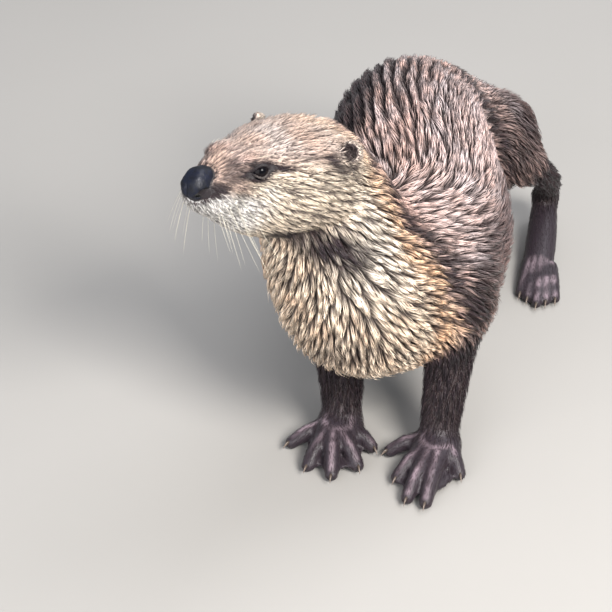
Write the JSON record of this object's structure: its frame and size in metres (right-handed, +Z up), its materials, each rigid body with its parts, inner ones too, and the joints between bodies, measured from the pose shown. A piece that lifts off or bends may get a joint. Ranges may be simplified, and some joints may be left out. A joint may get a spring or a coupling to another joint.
{
  "type": "river otter",
  "caption": "River otter standing with its forepaws together, back arched, head raised and turned to its right, and tail curled on the floor.",
  "frame": {"origin": "on the floor, under the middle of the model's outline", "axes": "+Z up, the otter's body faces -Y, its left side is +X"},
  "size_m": [0.2272, 0.5108, 0.269],
  "materials": {
    "coat_pale": "wet, clumped cream to tan coat of the head, throat and neck",
    "coat_back": "wet, clumped grey-brown coat of the back, flanks and tail",
    "coat_leg": "short, dark brown coat of the legs",
    "paw": "bare and thinly furred, dark grey-violet paws",
    "nose": "moist, pebbled blue-black nose pad",
    "ear": "thinly furred brown ear",
    "eye": "wet, very dark brown eye",
    "claw": "dull horn-brown claw"
  },
  "bodies": {
    "root": {"chest": "coat_back", "ear_left": "ear", "ear_right": "ear", "eye_left": "eye", "eye_right": "eye", "fore_claw_left_1": "claw", "fore_claw_left_2": "claw", "fore_claw_left_3": "claw", "fore_claw_left_4": "claw", "fore_claw_left_5": "claw", "fore_claw_right_1": "claw", "fore_claw_right_2": "claw", "fore_claw_right_3": "claw", "fore_claw_right_4": "claw", "fore_claw_right_5": "claw", "foreleg_left": "coat_leg", "foreleg_right": "coat_leg", "haunch_left": "coat_back", "haunch_right": "coat_back", "head": "coat_pale", "hind_claw_left_1": "claw", "hind_claw_left_2": "claw", "hind_claw_left_3": "claw", "hind_claw_left_4": "claw", "hind_claw_left_5": "claw", "hind_claw_right_1": "claw", "hind_claw_right_2": "claw", "hind_claw_right_3": "claw", "hind_claw_right_4": "claw", "hind_claw_right_5": "claw", "hind_leg_left": "coat_leg", "hind_leg_right": "coat_leg", "loin": "coat_back", "neck": "coat_pale", "nose": "nose", "paw_front_left": "paw", "paw_front_right": "paw", "paw_hind_left": "paw", "paw_hind_right": "paw", "rump": "coat_back", "tail_base": "coat_back", "tail_middle": "coat_back", "tail_tip": "coat_back"}
  },
  "joints": []
}
